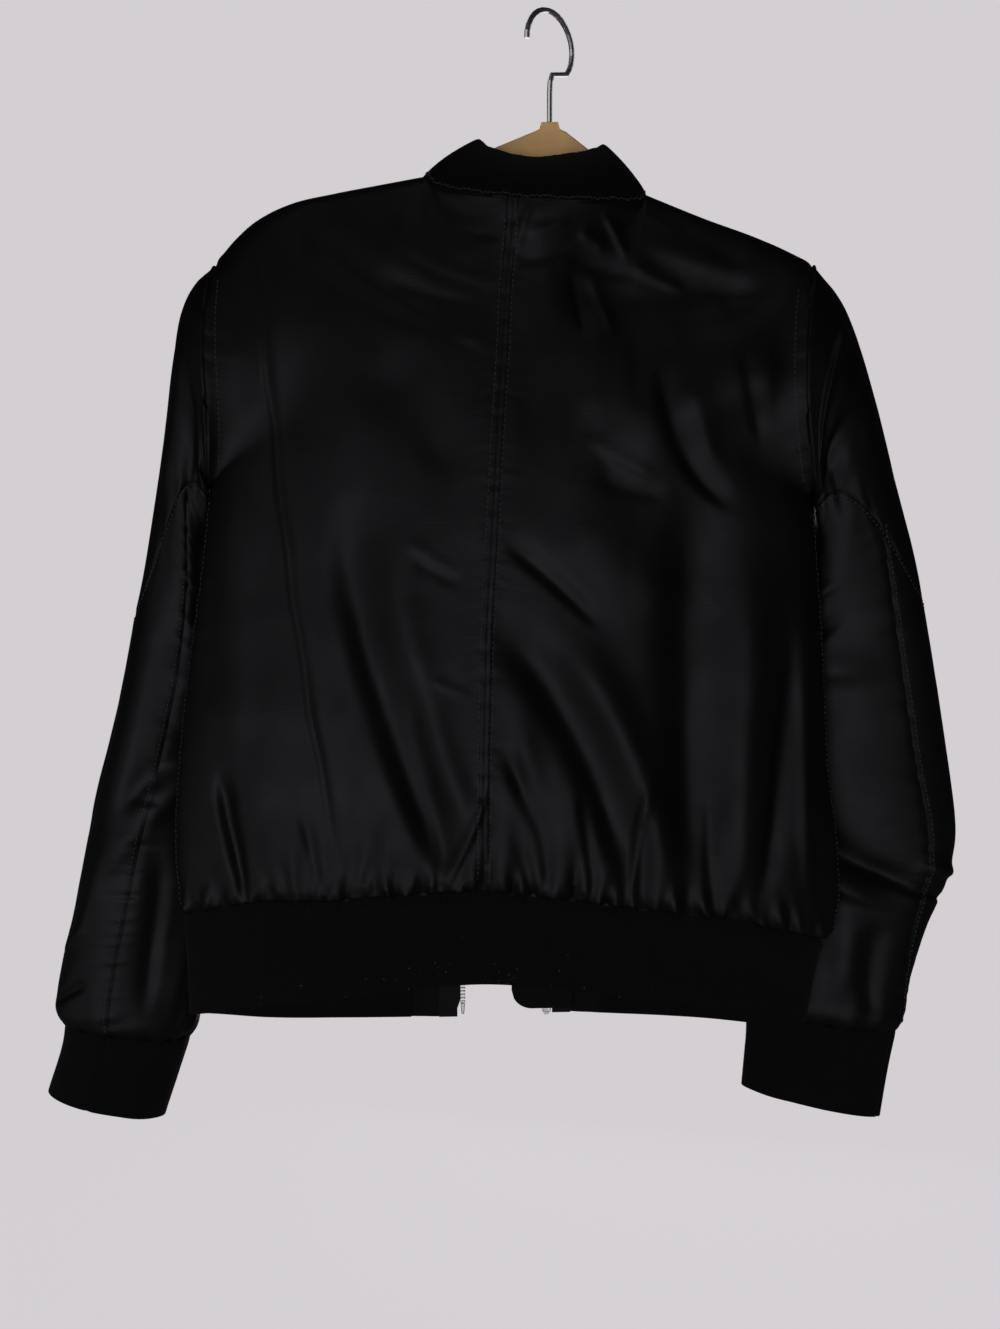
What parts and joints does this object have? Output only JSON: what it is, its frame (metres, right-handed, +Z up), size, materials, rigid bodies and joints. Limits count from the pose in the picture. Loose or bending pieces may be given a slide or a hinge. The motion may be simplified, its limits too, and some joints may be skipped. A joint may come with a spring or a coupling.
{
  "type": "bomber jacket on a clothes hanger",
  "caption": "Black satin bomber jacket with ribbed collar, cuffs and hem, hanging unzipped on a flocked hanger with a steel hook.",
  "frame": {"origin": "inside top of the hanger's hook, where it rests on a rail", "axes": "+Z up; the back of the jacket faces -Y and its open front +Y; the wearer's left is -X"},
  "size_m": [0.7155, 0.1327, 0.8473],
  "materials": {
    "satin": "black nylon satin with a soft broad sheen, crumpled",
    "rib": "matte black rib knit",
    "zip_tape": "black woven tape",
    "zip_metal": "nickel-plated brass, lightly worn",
    "hook_steel": "polished steel wire",
    "hanger_flock": "beige velvet flock on moulded plastic"
  },
  "bodies": {
    "jacket": {"back_left": "satin", "back_right": "satin", "front_left": "satin", "front_right": "satin", "hem_tab_left": "satin", "hem_tab_right": "satin", "sleeve_left_head": "satin", "sleeve_left_top": "satin", "sleeve_left_under": "satin", "sleeve_right_head": "satin", "sleeve_right_top": "satin", "sleeve_right_under": "satin", "wind_flap": "satin", "collar": "rib", "hem_rib_back": "rib", "hem_rib_front_left": "rib", "hem_rib_front_right": "rib", "cuff_left": "rib", "cuff_right": "rib", "zip_tape_left": "zip_tape", "zip_tape_right": "zip_tape", "zip_chain_left": "zip_metal", "zip_chain_right": "zip_metal", "zip_pin": "zip_metal", "zip_box": "zip_metal", "zip_slider": "zip_metal", "hanger_hook": "hook_steel", "hanger_body": "hanger_flock"},
    "pull": {"zip_pull": "zip_metal"}
  },
  "joints": [
    {"name": "pull_swing", "type": "hinge", "parent": "jacket", "child": "pull", "pos_m": [0.00038, 0.02762, -0.73264], "axis": [1, 0, 0], "range_deg": [0, 165]}
  ]
}
